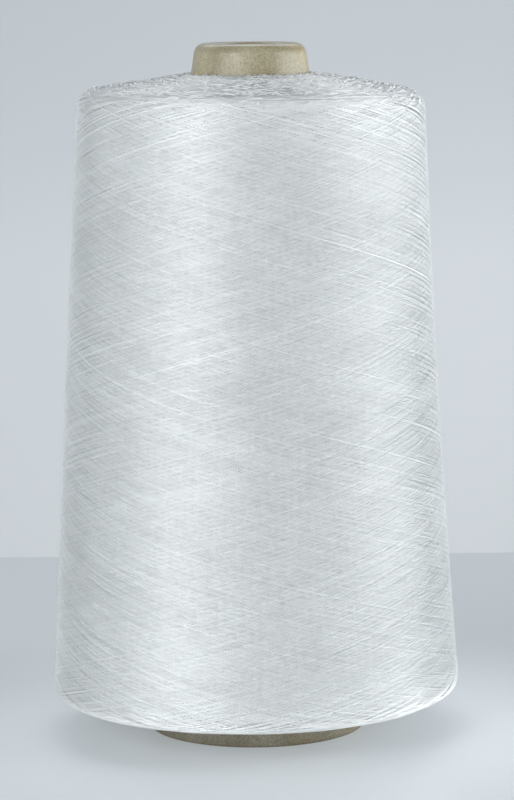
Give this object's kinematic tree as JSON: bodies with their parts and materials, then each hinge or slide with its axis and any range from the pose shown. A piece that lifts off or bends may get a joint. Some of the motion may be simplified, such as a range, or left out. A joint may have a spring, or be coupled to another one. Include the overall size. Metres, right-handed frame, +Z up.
{
  "type": "cone of thread",
  "caption": "Tapered paper tube wound with a tall package of glossy white thread; stands on its base and is open right through for a holder's peg.",
  "frame": {"origin": "centre of the paper tube's base, on the surface that the cone stands on", "axes": "+Z up along the tube's axis, from its wide base to its nose; +X to the right and +Y away, seen from the front"},
  "size_m": [0.137, 0.137, 0.23],
  "materials": {
    "kraft_board": "satin kraft board, speckled",
    "white_thread": "silky white filament thread, cross-wound"
  },
  "bodies": {
    "root": {"paper_tube": "kraft_board", "wound_thread": "white_thread"}
  },
  "joints": []
}
